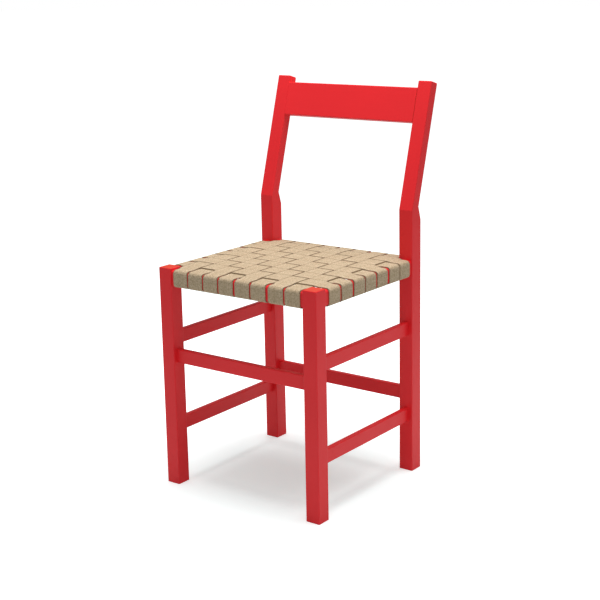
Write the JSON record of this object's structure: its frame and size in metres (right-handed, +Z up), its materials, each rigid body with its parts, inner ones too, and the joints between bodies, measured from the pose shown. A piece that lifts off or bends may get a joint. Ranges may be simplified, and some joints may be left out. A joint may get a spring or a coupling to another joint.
{
  "type": "wooden side chair with a woven webbing seat",
  "caption": "Upright armless wooden chair with straight square legs, stretchers, leaning back posts joined by a flat board, and a seat of plain-woven flat webbing.",
  "frame": {"origin": "on the floor, below the middle of the chair's overall width and depth", "axes": "+Z up, +Y to the back of the chair, +X across the seat, to the right for someone facing the back board"},
  "size_m": [0.394, 0.4323, 0.8185],
  "materials": {
    "red_lacquer": "red paint with a satin sheen",
    "linen_webbing": "undyed woven tape, matt"
  },
  "bodies": {
    "root": {"front_leg_left": "red_lacquer", "front_leg_right": "red_lacquer", "rear_leg_left": "red_lacquer", "rear_leg_right": "red_lacquer", "seat_rail_front": "red_lacquer", "seat_rail_rear": "red_lacquer", "seat_rail_left": "red_lacquer", "seat_rail_right": "red_lacquer", "stretcher_front": "red_lacquer", "stretcher_rear": "red_lacquer", "stretcher_left_upper": "red_lacquer", "stretcher_left_lower": "red_lacquer", "stretcher_right_upper": "red_lacquer", "stretcher_right_lower": "red_lacquer", "back_board": "red_lacquer", "webbing_lengthwise_1": "linen_webbing", "webbing_lengthwise_2": "linen_webbing", "webbing_lengthwise_3": "linen_webbing", "webbing_lengthwise_4": "linen_webbing", "webbing_lengthwise_5": "linen_webbing", "webbing_lengthwise_6": "linen_webbing", "webbing_lengthwise_7": "linen_webbing", "webbing_lengthwise_8": "linen_webbing", "webbing_crosswise_1": "linen_webbing", "webbing_crosswise_2": "linen_webbing", "webbing_crosswise_3": "linen_webbing", "webbing_crosswise_4": "linen_webbing", "webbing_crosswise_5": "linen_webbing", "webbing_crosswise_6": "linen_webbing", "webbing_crosswise_7": "linen_webbing"}
  },
  "joints": []
}
